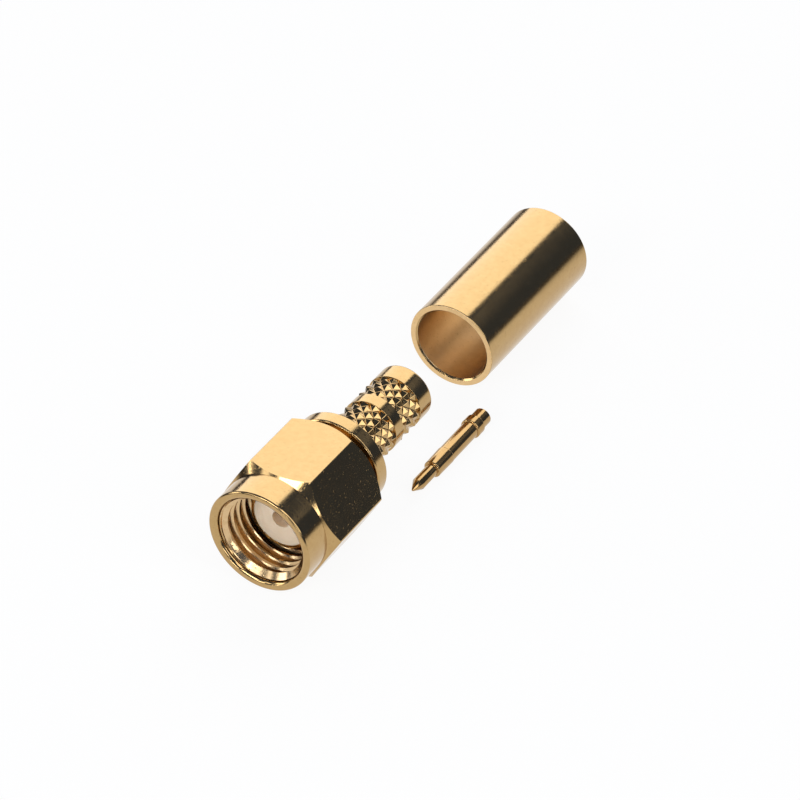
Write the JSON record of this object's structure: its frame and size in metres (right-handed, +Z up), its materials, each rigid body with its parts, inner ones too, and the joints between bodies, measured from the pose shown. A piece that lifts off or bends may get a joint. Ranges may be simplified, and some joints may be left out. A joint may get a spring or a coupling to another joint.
{
  "type": "coaxial crimp plug",
  "caption": "Gold-plated coaxial crimp plug with a free-turning threaded hexagonal coupling nut, a knurled crimp stem, and its loose centre contact and crimp ferrule.",
  "frame": {"origin": "on the connector's axis at its mating plane, where the outer contact and the insulator end", "axes": "-Y points out of the mating side, +Y towards the cable, +Z up from the surface that everything lies on"},
  "size_m": [0.0092, 0.0384, 0.008],
  "materials": {
    "nut_plating": "gold plated, lightly polished",
    "body_plating": "gold plated, turned",
    "ferrule_plating": "gold plated, satin",
    "contact_plating": "gold plated, polished",
    "spring_bronze": "bare, satin",
    "insulator_plastic": "waxy fluoropolymer",
    "gasket_rubber": "silicone"
  },
  "bodies": {
    "root": {"connector_body": "body_plating", "insulator": "insulator_plastic", "gasket": "gasket_rubber", "retaining_ring": "spring_bronze", "centre_contact": "contact_plating", "crimp_ferrule": "ferrule_plating"},
    "nut": {"coupling_nut": "nut_plating"}
  },
  "joints": [
    {"name": "nut_spin", "type": "hinge", "parent": "root", "child": "nut", "pos_m": [0, 0, 0], "axis": [0, 1, 0], "continuous": true}
  ]
}
